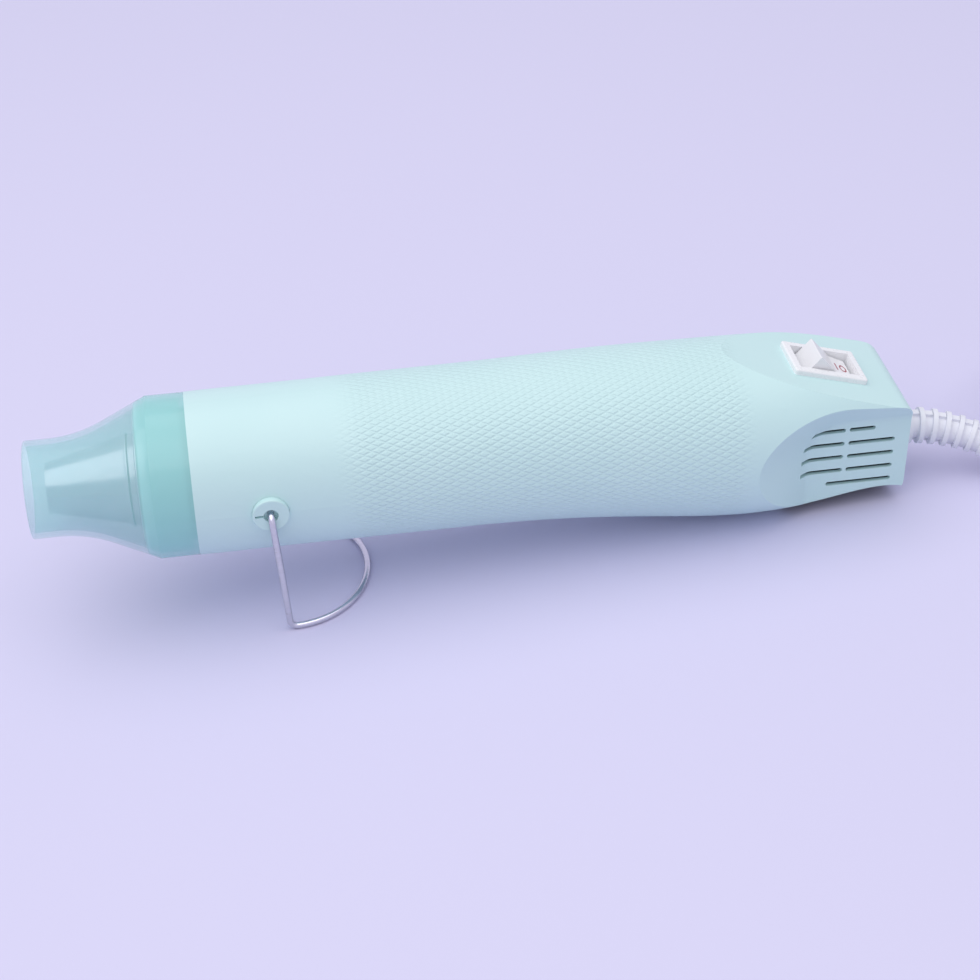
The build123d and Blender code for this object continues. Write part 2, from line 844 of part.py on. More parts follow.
# Bushes that carry the stand, one in each shell
for label, hand in (("stand_bush_near", 1), ("stand_bush_far", -1)):
    with BuildPart() as stand_bush:
        for radius, start, depth in (
            (bush_radius, bush_inner, bush_flange),
            (bush_shank_radius, bush_end, bush_shank_length),
        ):
            with BuildSketch(side.offset(hand * start)):
                with Locations((pivot_along, 0)):
                    Circle(radius)
            extrude(amount=hand * depth)
        rim = stand_bush.edges().filter_by(GeomType.CIRCLE).sort_by(Axis.Y if hand < 0 else -Axis.Y)[-1]
        fillet(rim, bush_flange / 6)
        with BuildSketch(side.offset(hand * bush_end)):
            with Locations((pivot_along, 0)):
                Circle(wire_radius + running_gap)
        extrude(amount=hand * bush_face, mode=Mode.SUBTRACT)
        with BuildSketch(side.offset(hand * bush_face)):
            with Locations((pivot_along, 0)):
                Circle(bush_mouth_radius)
            with Locations((pivot_along - (bush_radius - bush_slit) / 2, 0)):
                Rectangle(bush_radius - bush_slit, bush_slit)
        extrude(amount=-hand * bush_mouth_depth, mode=Mode.SUBTRACT)
    save(stand_bush, label)

# Wire stand: pins in the bushes, two legs and a half-round foot on the floor
pivot = spot(pivot_along)
leg_across = bush_face + body_gap + wire_radius
foot_x = pivot.X - foot_back
foot_start = foot_x + wire_bend * 1.5
with BuildPart() as stand_wire:
    with BuildLine() as wire_line:
        for hand in (-1, 1):
            FilletPolyline(
                (pivot.X, hand * (bush_end + running_gap), pivot.Z),
                (pivot.X, hand * leg_across, pivot.Z),
                (foot_x, hand * foot_radius, wire_radius),
                (foot_start, hand * foot_radius, wire_radius),
                radius=wire_bend,
            )
        foot_level = Plane(origin=(foot_start, 0, wire_radius))
        with BuildLine(foot_level):
            EllipticalCenterArc((0, 0), foot_reach - foot_start + foot_x, foot_radius, start_angle=-90, arc_size=180)
    wire_path = wire_line.wires()[0]
    with BuildSketch(Plane(origin=wire_path @ 0, z_dir=wire_path % 0)):
        Circle(wire_radius)
    sweep(path=wire_path)
save(stand_wire, "stand_wire")

# Strain relief: its bend lies in a plane that swings from straight down towards the near side
swing = radians(relief_swing)
droop = barrel.z_dir * -cos(swing) - barrel.y_dir * sin(swing)
relief_inside = wall + relief_flange_thickness


def relief_frame(reach):
    """The plane square to the strain relief at a length along it: local y is up."""
    turn = reach / relief_bend
    middle = relief_seat.origin + barrel.x_dir * relief_bend * sin(turn) + droop * relief_bend * (1 - cos(turn))
    way = barrel.x_dir * cos(turn) + droop * sin(turn)
    return Plane(origin=middle, x_dir=barrel.z_dir.cross(way), z_dir=way)


relief_end = relief_frame(relief_length)
rib_pitch = (relief_length - relief_rib_thickness) / (relief_rib_count - 1)
with BuildPart() as strain_relief:
    for radius, depth in ((relief_flange, relief_flange_thickness), (relief_neck, relief_inside)):
        with BuildSketch(relief_seat.offset(-relief_inside)):
            Circle(radius)
        extrude(amount=depth)
    bend_plane = Plane(origin=relief_seat.origin, x_dir=barrel.x_dir, z_dir=barrel.x_dir.cross(droop))
    with BuildLine(bend_plane) as core_line:
        JernArc((0, 0), (1, 0), radius=relief_bend, arc_size=degrees(relief_length / relief_bend))
    with BuildSketch(relief_frame(0)):
        Circle(relief_core)
    sweep(path=core_line.line)
    for k in range(relief_rib_count - 1):
        rib = relief_root_rib + (relief_end_rib - relief_root_rib) * k / (relief_rib_count - 1)
        with BuildSketch(relief_frame(k * rib_pitch)):
            Circle(rib)
        extrude(amount=relief_rib_thickness)
        with BuildSketch(relief_frame(k * rib_pitch)):
            Rectangle(relief_spine, relief_core + rib)
        extrude(amount=rib_pitch)
    with BuildSketch(relief_end):
        Circle(relief_end_rib)
    extrude(amount=-relief_rib_thickness)
save(strain_relief, "strain_relief")

# Cord inside the body, its clamp and the clamp's screws
with BuildPart() as inner_cord:
    with BuildSketch(relief_seat.offset(-relief_inside)):
        Circle(cord_diameter / 2)
    extrude(amount=-inner_cord_length)
save(inner_cord, "inner_cord")

with BuildPart() as cord_clamp:
    with BuildSketch(clamp_under):
        RectangleRounded(clamp_length, clamp_width, clamp_length / 4)
        with Locations(*clamp_places):
            Circle(clamp_screw_radius, mode=Mode.SUBTRACT)
    extrude(amount=-clamp_thickness)
save(cord_clamp, "cord_clamp")

with BuildPart() as clamp_screws:
    for radius, depth in ((clamp_screw_head, -clamp_screw_radius), (clamp_screw_radius, clamp_screw_length)):
        with BuildSketch(clamp_under.offset(-clamp_thickness)):
            with Locations(*clamp_places):
                Circle(radius)
        extrude(amount=depth)
save(clamp_screws, "clamp_screws")

# Leads inside the body: cord to switch, switch to heater, and heater back to the cord
cord_front = body_length - relief_inside - inner_cord_length
terminal_back = nozzle_tube_end + base_thickness + terminal_rear
terminal_side = terminal_spread * cos(radians(terminal_angle))
terminal_up = terminal_spread * sin(radians(terminal_angle))
lead_front = shroud_end - shroud_length - lead_room
lead_climb = board_start + board_thickness + lead_climb_length
switch_end = -(switch_depth + terminal_length)


def heater_run(hand):
    """The places that a lead takes from behind the motor to its heater terminal."""
    return [
        spot(lead_climb, hand * lead_across, lead_height),
        spot(board_start + board_thickness, hand * lead_across, lead_drop),
        spot(lead_front, hand * lead_across, lead_drop),
        spot(lead_front, hand * terminal_side, hand * terminal_up),
        spot(terminal_back, hand * terminal_side, hand * terminal_up),
    ]


lead_routes = {
    "lead_live": [
        spot(cord_front, -lead_offset, cord_exit_height + lead_offset / 3),
        spot(cord_front - lead_reach, -lead_offset, cord_exit_height + lead_offset / 3),
        facet.from_local_coords((-terminal_pitch / 2, -lead_offset, switch_end - lead_foot)),
        facet.from_local_coords((-terminal_pitch / 2, -lead_offset, switch_end)),
    ],
    "lead_heater": [
        facet.from_local_coords((terminal_pitch / 2, lead_offset, switch_end)),
        facet.from_local_coords((terminal_pitch / 2, lead_offset, switch_end - lead_foot)),
        spot(cord_front - 2 * lead_reach, 2 * lead_offset, lead_height),
        *heater_run(1),
    ],
    "lead_return": [
        spot(cord_front, lead_offset / 3, cord_exit_height - lead_offset),
        spot(cord_front - 2 * lead_reach / 3, lead_offset / 3, cord_exit_height - lead_offset),
        spot(cord_front - 2 * lead_reach, -2 * lead_offset, lead_height),
        *heater_run(-1),
    ],
}
for label, route in lead_routes.items():
    with BuildPart() as lead:
        with BuildLine() as lead_line:
            FilletPolyline(*route, radius=lead_bend)
        with BuildSketch(Plane(origin=lead_line.line @ 0, z_dir=lead_line.line % 0)):
            Circle(lead_radius)
        sweep(path=lead_line.line)
    save(lead, label)


# Coil of the cord in layers: in and out again, up a layer in each half turn where it reverses
coil_pitch = cord_diameter + coil_gap
coil_outer_radius = coil_inner_radius + coil_turns_per_layer * coil_pitch
coil_height = cord_diameter / 2 + tie_thickness + tie_gap
coil_middle = Vector(*coil_place, coil_height)
coil_layer_turns = coil_turns_per_layer + coil_climb_turns
coil_turns = coil_layers * coil_layer_turns - coil_climb_turns
coil_rise = (coil_layers - 1) * coil_pitch


def coil_point(turn):
    """A point of the coil's middle line, in turns from where the cord comes in."""
    layer, within = divmod(turn, coil_layer_turns)
    climbed = max(within - coil_turns_per_layer, 0)
    travel = coil_pitch * (min(within, coil_turns_per_layer) + climbed * (1 - climbed / coil_climb_turns))
    radius = coil_inner_radius + travel if layer % 2 else coil_outer_radius - travel
    height = coil_pitch * (layer + (1 - cos(pi * climbed / coil_climb_turns)) / 2)
    angle = radians(coil_start_angle) + 2 * pi * turn
    return coil_middle + Vector(radius * cos(angle), radius * sin(angle), height)


coil_stations = []
for layer in range(coil_layers):
    first = layer * coil_layer_turns
    coil_stations += [first + k * coil_turns_per_layer / coil_layer_steps for k in range(coil_layer_steps + 1)]
    if layer < coil_layers - 1:
        coil_stations.append(first + coil_turns_per_layer + coil_climb_turns / 2)
coil_in_way, coil_out_way = heading(coil_point, 0), heading(coil_point, coil_turns)
coil_in = coil_point(0) - coil_in_way * cord_diameter
coil_out = coil_point(coil_turns) + coil_out_way * cord_diameter
with BuildPart() as cord_coil:
    with BuildLine() as coil_line:
        Line(coil_in, coil_point(0))
        wind(coil_point, coil_stations)
        Line(coil_point(coil_turns), coil_out)
    coil_path = coil_line.wires()[0]
    with BuildSketch(Plane(origin=coil_in, z_dir=coil_in_way)):
        Circle(cord_diameter / 2)
    sweep(path=coil_path)
save(cord_coil, "cord_coil")

points_per_turn = 36
coil_points = [coil_point(k / points_per_turn) for k in range(int(coil_turns * points_per_turn) + 1)]
coil_gaps = [
    (first - second).length - cord_diameter
    for k, first in enumerate(coil_points)
    for second in coil_points[k + points_per_turn // 2:]
]
print("coil length", round(coil_path.length), "least gap", round(min(coil_gaps), 2))
cord_section = pi * (cord_diameter / 2) ** 2
print("coil volume share", round(cord_coil.part.volume / cord_section / coil_path.length, 4))


def cord_tube(points):
    """A tube of the cord along straight runs and the largest tangent arcs that they allow."""
    radii = []
    for before, corner, after in zip(points, points[1:], points[2:]):
        half_turn = radians((corner - before).get_angle(after - corner)) / 2
        radii.append(0.45 * min((corner - before).length, (after - corner).length) / tan(half_turn))
    with BuildPart() as tube:
        with BuildLine() as tube_line:
            FilletPolyline(*points, radius=radii)
        path = tube_line.wires()[0]
        with BuildSketch(Plane(origin=points[0], z_dir=points[1] - points[0])):
            Circle(cord_diameter / 2)
        sweep(path=path)
    print("cord radii", [round(radius, 1) for radius in radii], "length", round(path.length, 1))
    print("cord volume share", round(tube.part.volume / cord_section / path.length, 4))
    return tube


# Free cord from the strain relief to the coil, and from the coil to the plug
cord_run = cord_tube(
    [
        relief_end.origin,
        relief_end.origin + relief_end.z_dir * cord_run_end,
        coil_in - coil_in_way * cord_run_end,
        coil_in,
    ]
)
save(cord_run, "cord_run")

# The tail turns back over the coil, where the plug lies on it
plug_rest = coil_height + coil_rise + cord_diameter / 2 + seat_gap
tail_lift = (plug_rest + plug_height / 2 - coil_out.Z) / 3
tail_turn = sqrt(1 / 2)
tail_points = [coil_out]
for step in ((-1, 0, 0), (-tail_turn, -tail_turn, 1), (0, -1, 1), (tail_turn, -tail_turn, 1), (1, 0, 0)):
    run = Vector(step[0] * tail_run, step[1] * tail_run, step[2] * tail_lift)
    tail_points.append(tail_points[-1] + run)
tail_points[1] = coil_out + coil_out_way * tail_run
cord_tail = cord_tube(tail_points)
save(cord_tail, "cord_tail")

# Tie round the coil's turns
with BuildPart() as cord_tie:
    tie_wide = coil_outer_radius - coil_inner_radius + cord_diameter + 2 * tie_gap
    tie_tall = coil_rise + cord_diameter + 2 * tie_gap
    tie_way = Vector(1, 0, 0).rotate(Axis.Z, coil_start_angle + tie_turn)
    tie_mid = coil_middle + tie_way * (coil_inner_radius + coil_outer_radius) / 2 + Vector(0, 0, coil_rise / 2)
    with BuildSketch(Plane(origin=tie_mid, x_dir=tie_way, z_dir=tie_way.cross(Vector(0, 0, 1)))):
        RectangleRounded(tie_wide + 2 * tie_thickness, tie_tall + 2 * tie_thickness, cord_diameter / 2)
        RectangleRounded(tie_wide, tie_tall, cord_diameter / 2 - tie_thickness, mode=Mode.SUBTRACT)
    extrude(amount=tie_width / 2, both=True)
save(cord_tie, "cord_tie")

# Flat two-pin plug on the end of the tail, its pins towards +X
plug_start = tail_points[-1]
plug_face = plug_start.X + plug_collar_length + plug_length
plug_end = Plane(origin=(plug_face, plug_start.Y, plug_start.Z), x_dir=(0, 1, 0), z_dir=(1, 0, 0))
with BuildPart() as plug_body:
    with BuildSketch(Plane(origin=(plug_face, plug_start.Y, plug_rest))) as plug_outline:
        with BuildLine():
            Polyline(
                (0, plug_width / 2),
                (-plug_face_depth, plug_width / 2),
                (-plug_length, plug_nose_width / 2),
                (-plug_length, -plug_nose_width / 2),
                (-plug_face_depth, -plug_width / 2),
                (0, -plug_width / 2),
                close=True,
            )
        make_face()
        fillet(plug_outline.vertices().sort_by(Axis.X)[:4], plug_round)
    extrude(amount=plug_height)
    fillet(plug_body.edges().group_by(Axis.Z)[-1] + plug_body.edges().group_by(Axis.Z)[0], plug_round)
    with BuildSketch(plug_end.offset(-plug_length - plug_collar_length)):
        Circle(plug_collar)
    extrude(amount=plug_collar_length + plug_round)
save(plug_body, "plug_body")

with BuildPart() as plug_pins:
    with BuildSketch(plug_end):
        with Locations((pin_spread / 2, 0), (-pin_spread / 2, 0)):
            Circle(pin_radius)
    extrude(amount=pin_length)
    fillet(plug_pins.faces().sort_by(Axis.X)[-2:].edges(), pin_radius / 2)
save(plug_pins, "plug_pins")
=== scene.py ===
import bpy
from math import cos, pi, radians, sin
from mathutils import Matrix, Vector


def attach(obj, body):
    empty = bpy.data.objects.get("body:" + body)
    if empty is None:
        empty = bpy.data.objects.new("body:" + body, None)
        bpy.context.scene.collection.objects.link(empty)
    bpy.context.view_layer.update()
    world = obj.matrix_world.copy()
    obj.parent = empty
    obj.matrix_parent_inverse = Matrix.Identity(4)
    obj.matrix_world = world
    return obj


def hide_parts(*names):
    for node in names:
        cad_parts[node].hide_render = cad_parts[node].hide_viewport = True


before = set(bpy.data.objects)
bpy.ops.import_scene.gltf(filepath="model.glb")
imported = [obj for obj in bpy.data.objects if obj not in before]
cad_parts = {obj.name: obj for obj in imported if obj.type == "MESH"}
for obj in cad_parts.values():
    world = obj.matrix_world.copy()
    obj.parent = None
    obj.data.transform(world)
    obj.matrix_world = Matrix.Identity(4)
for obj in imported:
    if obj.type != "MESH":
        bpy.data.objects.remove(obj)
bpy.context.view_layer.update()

# Places and sizes in metres, as in the part's source
TILT = radians(4.6)
RING = Vector((-0.073411, 0.0, 0.038907))
FRONT_RADIUS = 0.0213
CORD_DIAMETER = 0.0055
GRIP_START, GRIP_END = 0.034, 0.147
GRIP_START_FADE, GRIP_END_FADE = 0.012, 0.008
GRIP_CELL_LENGTH, GRIP_CELL_HEIGHT, GRIP_RELIEF = 0.0038, 0.0018, 0.00012
GRIP_CELL_EDGE, GRIP_CELL_CREST = 0.03, 0.28
COLLAR_LENGTH, COLLAR_FADE = 0.0125, 0.001
FLARE_ALPHA, COLLAR_ALPHA = 0.33, 0.66
FACET_MIDDLE = Vector((0.095938, 0.0, 0.039031))
FACET_TILT = radians(20.6)
MARK_HALF_WIDTH = 0.0017
BAR_ALONG, BAR_HALF_THICKNESS = 0.0039, 0.00022
RING_ALONG, RING_HALF_LENGTH = 0.0060, 0.0011
RING_MIDDLE, RING_HALF_LINE = 0.8, 0.2
MARK_OUTSIDE, MARK_INSIDE = 1.15, 0.85
MARK_LOWEST, MARK_FADE = -0.0012, 0.0002

# Each material: the two tones that its noise mixes, as display colours, and the roughness
# that another noise moves between
FINISHES = {
    "mint_body": ((199, 231, 232), (205, 234, 235), (0.36, 0.44)),
    "guard_translucent": ((172, 228, 230), (180, 232, 234), (0.08, 0.14)),
    "rocker_white": ((240, 240, 243), (236, 236, 240), (0.26, 0.32)),
    "switch_white": ((244, 244, 246), (238, 239, 243), (0.24, 0.32)),
    "inner_black": ((38, 38, 40), (46, 46, 49), (0.46, 0.54)),
    "board_green": ((52, 106, 66), (60, 116, 74), (0.36, 0.44)),
    "turned_steel": ((232, 233, 236), (212, 214, 218), (0.14, 0.28)),
    "drawn_wire": ((224, 224, 229), (196, 197, 203), (0.18, 0.32)),
    "zinc_plate": ((176, 178, 180), (150, 152, 156), (0.28, 0.42)),
    "brass_strip": ((214, 186, 122), (190, 158, 96), (0.24, 0.38)),
    "nickel_pins": ((208, 207, 203), (188, 187, 184), (0.10, 0.24)),
    "heater_wire": ((96, 92, 90), (62, 60, 60), (0.44, 0.58)),
    "cord_white": ((236, 237, 244), (230, 231, 240), (0.50, 0.60)),
    "lead_brown": ((110, 72, 46), (98, 62, 40), (0.50, 0.60)),
    "lead_blue": ((54, 86, 156), (46, 76, 142), (0.50, 0.60)),
    "mica_sheet": ((150, 132, 100), (206, 196, 168), (0.25, 0.6)),
    "pale_floor": ((214, 210, 239), (217, 213, 241), (0.9, 0.9)),
}
# The slot colour is painted shade: it darkens the shell's faces inside the vent slots
SLOT_PAINTED_SHADE, COLLAR_TONE, MARK_TONE = (16, 46, 50), (172, 232, 232), (170, 92, 100)
GUARD_IOR, FLOOR_SPECULAR = 1.45, 0.2
DRAWN_LINES, TURNED_LINES = (40.0, 900.0, 900.0), (60.0, 60.0, 60.0)

# Noise of the surfaces, in cells a metre
NOISE = {
    "mould_cloud": 60.0, "mould_gloss": 900.0,
    "body_cloud": 45.0, "body_gloss": 700.0, "body_grain": 900.0,
    "guard_cloud": 70.0, "guard_gloss": 500.0,
    "vinyl_cloud": 120.0, "vinyl_gloss": 800.0, "vinyl_grain": 1800.0,
    "mica_flakes": 380.0, "floor_cloud": 3.0,
}
BODY_GRAIN, VINYL_GRAIN, METAL_GRAIN = 0.000004, 0.00002, 0.00001

# Floor: its left, right, near and far edges
FLOOR = (-0.36, 0.36, -0.26, 0.56)

# Lamps: name, place, point that they face, size and power
LAMPS = (
    ("top_softbox", (-0.2, -0.1, 1.1), (0, 0, 0), 1.8, 12.2),
    ("front_fill", (0.3, -1.0, 0.6), (0, 0, 0.03), 0.9, 0.3),
)
WORLD_SEEN, WORLD_LIT, WORLD_STRENGTH = (222, 218, 248), (238, 239, 246), 0.58
# Box of the vent slots, in which the shell's faces get painted shade
SLOTS_START, SLOTS_END = 0.158, 0.1877
SLOTS_HALF, SLOTS_TOP = 0.0124, 0.004
SLOTS_FADE, SLOTS_SIDE_FADE = 0.0005, 0.0003

# The photograph's camera: its place, its turns and its focal length in pixels
CAMERA_PLACE = (-0.03861, -0.4392, 0.3431)
CAMERA_YAW, CAMERA_PITCH, CAMERA_ROLL = radians(5.48), radians(36.47), radians(-6.58)
FOCAL_PIXELS, FRAME_PIXELS = 2034.47, 980
SENSOR = 36.0


def colour(red, green, blue, alpha=1.0):
    """A display colour, 0 to 255 a channel, as the linear values that shaders take."""
    linear = []
    for channel in (red, green, blue):
        share = channel / 255
        linear.append(share / 12.92 if share <= 0.04045 else ((share + 0.055) / 1.055) ** 2.4)
    return (*linear, alpha)


def add_camera():
    """The camera at the photograph's place and angle."""
    forward = Vector((
        sin(CAMERA_YAW) * cos(CAMERA_PITCH),
        cos(CAMERA_YAW) * cos(CAMERA_PITCH),
        -sin(CAMERA_PITCH),
    ))
    level = Vector((cos(CAMERA_YAW), -sin(CAMERA_YAW), 0))
    upright = level.cross(forward)
    right = level * cos(CAMERA_ROLL) + upright * sin(CAMERA_ROLL)
    up = upright * cos(CAMERA_ROLL) - level * sin(CAMERA_ROLL)
    turn = Matrix((right, up, -forward)).transposed().to_4x4()
    lens = bpy.data.cameras.new("photo_camera")
    lens.sensor_width = SENSOR
    lens.lens = SENSOR * FOCAL_PIXELS / FRAME_PIXELS
    lens.clip_start = 0.01
    camera = bpy.data.objects.new("photo_camera", lens)
    camera.matrix_world = Matrix.Translation(CAMERA_PLACE) @ turn
    bpy.context.scene.collection.objects.link(camera)
    bpy.context.scene.camera = camera


# Cord route: listed points from the strain relief, a coil in four layers, and the way
# back over it to the plug
RUN_POINTS = [
    (0.14533, -0.01156, 0.00737),
    (0.15007, -0.01607, 0.00488),
    (0.15463, -0.02110, 0.00360),
    (0.15973, -0.02590, 0.00360),
]
TAIL_POINTS = [
    (0.18110, 0.02571, 0.02190),
    (0.16081, 0.02632, 0.02190),
    (0.14645, 0.01135, 0.02513),
    (0.14645, -0.00895, 0.02837),
    (0.16080, -0.02330, 0.03160),
    (0.18110, -0.02330, 0.03160),
]
COIL_MIDDLE = Vector((0.1866, -0.0068, 0.0036))
COIL_INNER_RADIUS = 0.0230
COIL_PITCH = 0.0061
COIL_LAYERS = 4
COIL_LAYER_TURNS = 1.53125
COIL_CLIMB_TURNS = 0.5
COIL_START_ANGLE = radians(-135)
COIL_POINTS_PER_TURN = 28


def coil_point(turn):
    """A point of the coil, in turns from where the cord comes in."""
    layer, within = divmod(turn, COIL_LAYER_TURNS + COIL_CLIMB_TURNS)
    climbed = max(within - COIL_LAYER_TURNS, 0)
    travel = min(within, COIL_LAYER_TURNS) + climbed * (1 - climbed / COIL_CLIMB_TURNS)
    radius = COIL_INNER_RADIUS + COIL_PITCH * (travel if layer % 2 else COIL_LAYER_TURNS - travel)
    height = COIL_PITCH * (layer + (1 - cos(pi * climbed / COIL_CLIMB_TURNS)) / 2)
    angle = COIL_START_ANGLE + 2 * pi * turn
    return COIL_MIDDLE + Vector((radius * cos(angle), radius * sin(angle), height))


def add_cord():
    """The free cord as one smooth line, coiled out of view."""
    turns = COIL_LAYERS * (COIL_LAYER_TURNS + COIL_CLIMB_TURNS) - COIL_CLIMB_TURNS
    steps = round(turns * COIL_POINTS_PER_TURN)
    points = [Vector(p) for p in RUN_POINTS]
    points += [coil_point(turns * k / steps) for k in range(steps + 1)]
    points += [Vector(p) for p in TAIL_POINTS]
    curve = bpy.data.curves.new("mains_cord", "CURVE")
    curve.dimensions = "3D"
    curve.bevel_depth = 1  # times each point's radius, which the curve's box counts too
    curve.bevel_resolution = 6
    curve.resolution_u = 6
    curve.use_fill_caps = True
    spline = curve.splines.new("NURBS")
    spline.points.add(len(points) - 1)
    for control, point in zip(spline.points, points):
        control.co = (*point, 1)
        control.radius = CORD_DIAMETER / 2
    spline.order_u = 3
    spline.use_endpoint_u = True
    cord = bpy.data.objects.new("mains_cord", curve)
    bpy.context.scene.collection.objects.link(cord)
    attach(cord, "housing")
    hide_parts("cord_run", "cord_coil", "cord_tail")
    return cord


class Shader:
    """A material's node tree, with short calls for its nodes."""

    def __init__(self, name):
        *tones, self.roughness = FINISHES[name]
        self.tones = [colour(*tone) for tone in tones]
        self.material = bpy.data.materials.new(name)
        self.material.use_nodes = True
        self.nodes = self.material.node_tree.nodes
        self.links = self.material.node_tree.links
        self.surface = self.nodes["Principled BSDF"]

    def node(self, kind, inputs=(), **settings):
        """A node with its settings, and its inputs set to values or linked to sockets."""
        made = self.nodes.new(kind)
        for setting, value in settings.items():
            setattr(made, setting, value)
        for place, value in dict(inputs).items():
            self.feed(made.inputs[place], value)
        return made

    def feed(self, socket, value):
        if isinstance(value, bpy.types.NodeSocket):
            self.links.new(value, socket)
        else:
            socket.default_value = value

    def math(self, operation, *values):
        return self.node("ShaderNodeMath", enumerate(values), operation=operation).outputs[0]

    def place(self):
        """The point in the row frame, in metres: every node's object sits at the origin."""
        return self.node("ShaderNodeTexCoord").outputs["Object"]

    def place_from(self, middle, tilt):
        """The point along, across and above a level that slopes down to the rear."""
        mapping = self.node("ShaderNodeMapping", {"Vector": self.place()}, vector_type="TEXTURE")
        mapping.inputs["Location"].default_value = middle
        mapping.inputs["Rotation"].default_value = (0, tilt, 0)
        return self.node("ShaderNodeSeparateXYZ", {"Vector": mapping.outputs[0]}).outputs

    def noise(self, scale, detail=2.0, roughness=0.5, vector=None):
        inputs = {"Vector": vector or self.place(), "Scale": scale}
        inputs |= {"Detail": detail, "Roughness": roughness}
        return self.node("ShaderNodeTexNoise", inputs).outputs["Fac"]

    def spread(self, value, low, high):
        """A 0 to 1 value brought into a range."""
        inputs = {"Value": value, "To Min": low, "To Max": high}
        return self.node("ShaderNodeMapRange", inputs).outputs["Result"]

    def ease(self, value, start, end):
        """0 before start, 1 after end, and smooth between."""
        inputs = {"Value": value, "From Min": start, "From Max": end}
        eased = self.node("ShaderNodeMapRange", inputs, interpolation_type="SMOOTHSTEP")
        return eased.outputs["Result"]

    def mix(self, share, first, second):
        mixed = self.node("ShaderNodeMix", data_type="RGBA")
        self.feed(mixed.inputs["Factor"], share)
        self.feed(mixed.inputs[6], first)
        self.feed(mixed.inputs[7], second)
        return mixed.outputs[2]

    def bump(self, height, distance, strength=1.0, before=None):
        inputs = {"Height": height, "Distance": distance, "Strength": strength}
        if before is not None:
            inputs["Normal"] = before
        return self.node("ShaderNodeBump", inputs).outputs["Normal"]

    def mottled(self, share):
        """The material's two tones, mixed by a 0 to 1 value."""
        return self.mix(share, *self.tones)

    def gloss(self, share):
        """The material's roughness, moved through its range by a 0 to 1 value."""
        return self.spread(share, *self.roughness)

    def finish(self, **values):
        for name, value in values.items():
            self.feed(self.surface.inputs[name.replace("_", " ")], value)
        return self.material


def moulded(name):
    """Moulded plastic: slightly uneven colour and gloss."""
    shader = Shader(name)
    base = shader.mottled(shader.noise(NOISE["mould_cloud"], 3.0))
    gloss = shader.gloss(shader.noise(NOISE["mould_gloss"]))
    return shader.finish(Base_Color=base, Roughness=gloss)


def metal(name, stretch=DRAWN_LINES):
    """Drawn or turned metal: fine lines along one way and uneven polish."""
    shader = Shader(name)
    mapping = shader.node("ShaderNodeMapping", {"Vector": shader.place(), "Scale": stretch})
    lines = shader.noise(1.0, 4.0, 0.6, mapping.outputs[0])
    base = shader.mottled(lines)
    gloss = shader.gloss(lines)
    normal = shader.bump(lines, METAL_GRAIN)
    shader.surface.inputs["Metallic"].default_value = 1.0
    return shader.finish(Base_Color=base, Roughness=gloss, Normal=normal)


def body_plastic():
    """Satin mint body with the grip's raised scales between its front and the tail, and painted
    shade inside the vent slots.
    """
    shader = Shader("mint_body")
    along, across, height = shader.place_from(RING, TILT)
    around = shader.math("MULTIPLY", shader.math("ARCTAN2", across, height), FRONT_RADIUS)
    forward = shader.math("DIVIDE", along, GRIP_CELL_LENGTH)
    upward = shader.math("DIVIDE", around, GRIP_CELL_HEIGHT)
    rising = shader.math("PINGPONG", shader.math("ADD", forward, upward), 0.5)
    falling = shader.math("PINGPONG", shader.math("SUBTRACT", forward, upward), 0.5)
    scale = shader.ease(shader.math("MINIMUM", rising, falling), GRIP_CELL_EDGE, GRIP_CELL_CREST)
    start = shader.ease(along, GRIP_START, GRIP_START + GRIP_START_FADE)
    end = shader.ease(along, GRIP_END, GRIP_END - GRIP_END_FADE)
    raised = shader.math("MULTIPLY", scale, shader.math("MULTIPLY", start, end))
    grip = shader.bump(raised, GRIP_RELIEF)
    normal = shader.bump(shader.noise(NOISE["body_grain"], 1.0), BODY_GRAIN, 1.0, grip)
    cloud = shader.noise(NOISE["body_cloud"], 3.0)
    skin = shader.mottled(cloud)
    # Painted shade: the shell's faces in the box of the vent slots are darkened to a near-black
    # green
    behind = shader.ease(along, SLOTS_START - SLOTS_FADE, SLOTS_START)
    ahead = shader.ease(along, SLOTS_END + SLOTS_FADE, SLOTS_END)
    beside = shader.ease(shader.math("ABSOLUTE", across), SLOTS_HALF + SLOTS_SIDE_FADE, SLOTS_HALF)
    under = shader.ease(height, SLOTS_TOP + SLOTS_FADE, SLOTS_TOP)
    lengthwise = shader.math("MULTIPLY", behind, ahead)
    painted_slot_shade = shader.math("MULTIPLY", lengthwise, shader.math("MULTIPLY", beside, under))
    base = shader.mix(painted_slot_shade, skin, colour(*SLOT_PAINTED_SHADE))
    gloss = shader.gloss(shader.noise(NOISE["body_gloss"]))
    return shader.finish(Base_Color=base, Roughness=gloss, Normal=normal)


